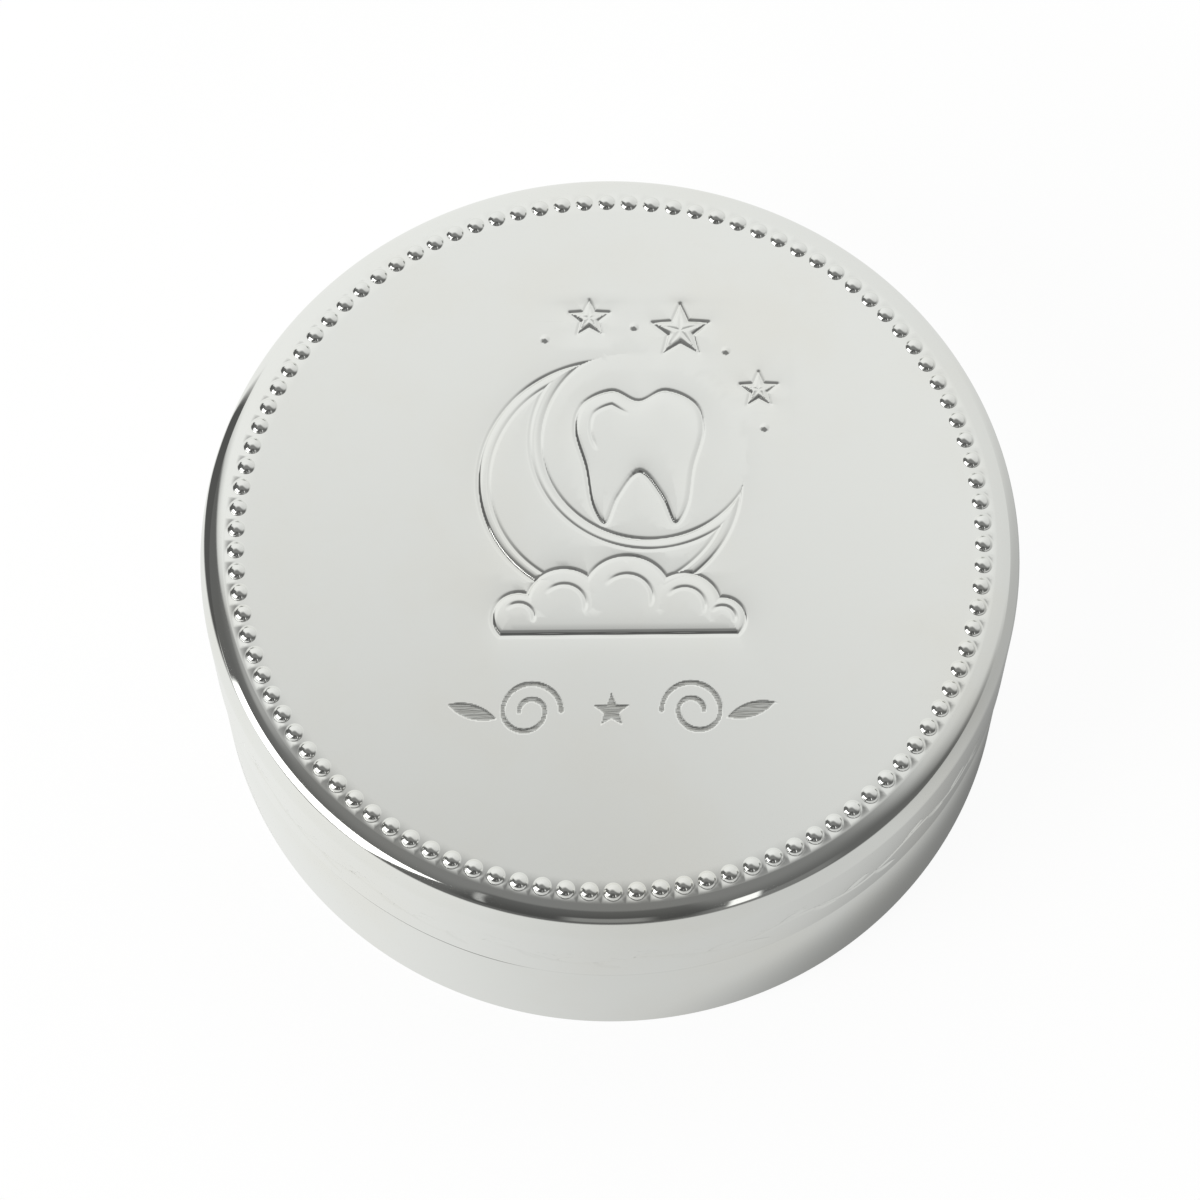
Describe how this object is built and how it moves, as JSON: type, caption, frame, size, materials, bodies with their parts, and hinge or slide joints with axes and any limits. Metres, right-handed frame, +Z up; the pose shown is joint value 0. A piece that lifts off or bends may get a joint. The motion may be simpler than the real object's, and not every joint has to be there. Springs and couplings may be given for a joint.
{
  "type": "round tooth box",
  "caption": "Round silver-plated keepsake box for milk teeth, with a beaded lift-off lid over a neck collar and a velvet lining.",
  "frame": {"origin": "centre of the felt's underside, on the surface that the box stands on", "axes": "+Z up along the box's axis, +Y towards the top of the design on the lid"},
  "size_m": [0.06, 0.06, 0.0238],
  "materials": {
    "silver_plate": "mirror-polished silver plate",
    "velvet": "short-pile velvet",
    "padding": "pressed wadding",
    "card": "plain grey card",
    "felt": "pressed felt"
  },
  "bodies": {
    "base": {"base_shell": "silver_plate", "neck_collar": "silver_plate", "wall_lining_board": "card", "wall_lining_velvet": "velvet", "floor_pad_board": "card", "floor_pad_foam": "padding", "floor_pad_velvet": "velvet", "underside_felt": "felt"},
    "lid_lining": {"lid_pad_board": "card", "lid_pad_foam": "padding", "lid_pad_velvet": "velvet"},
    "lid": {"lid_shell": "silver_plate"}
  },
  "joints": [
    {"name": "lid_lift", "type": "slide", "parent": "base", "child": "lid_lining", "axis": [0, 0, 1], "range_m": [0, 0.03]},
    {"name": "lid_turn", "type": "hinge", "parent": "lid_lining", "child": "lid", "pos_m": [0, 0, 0.0235], "axis": [0, 0, 1], "continuous": true}
  ]
}
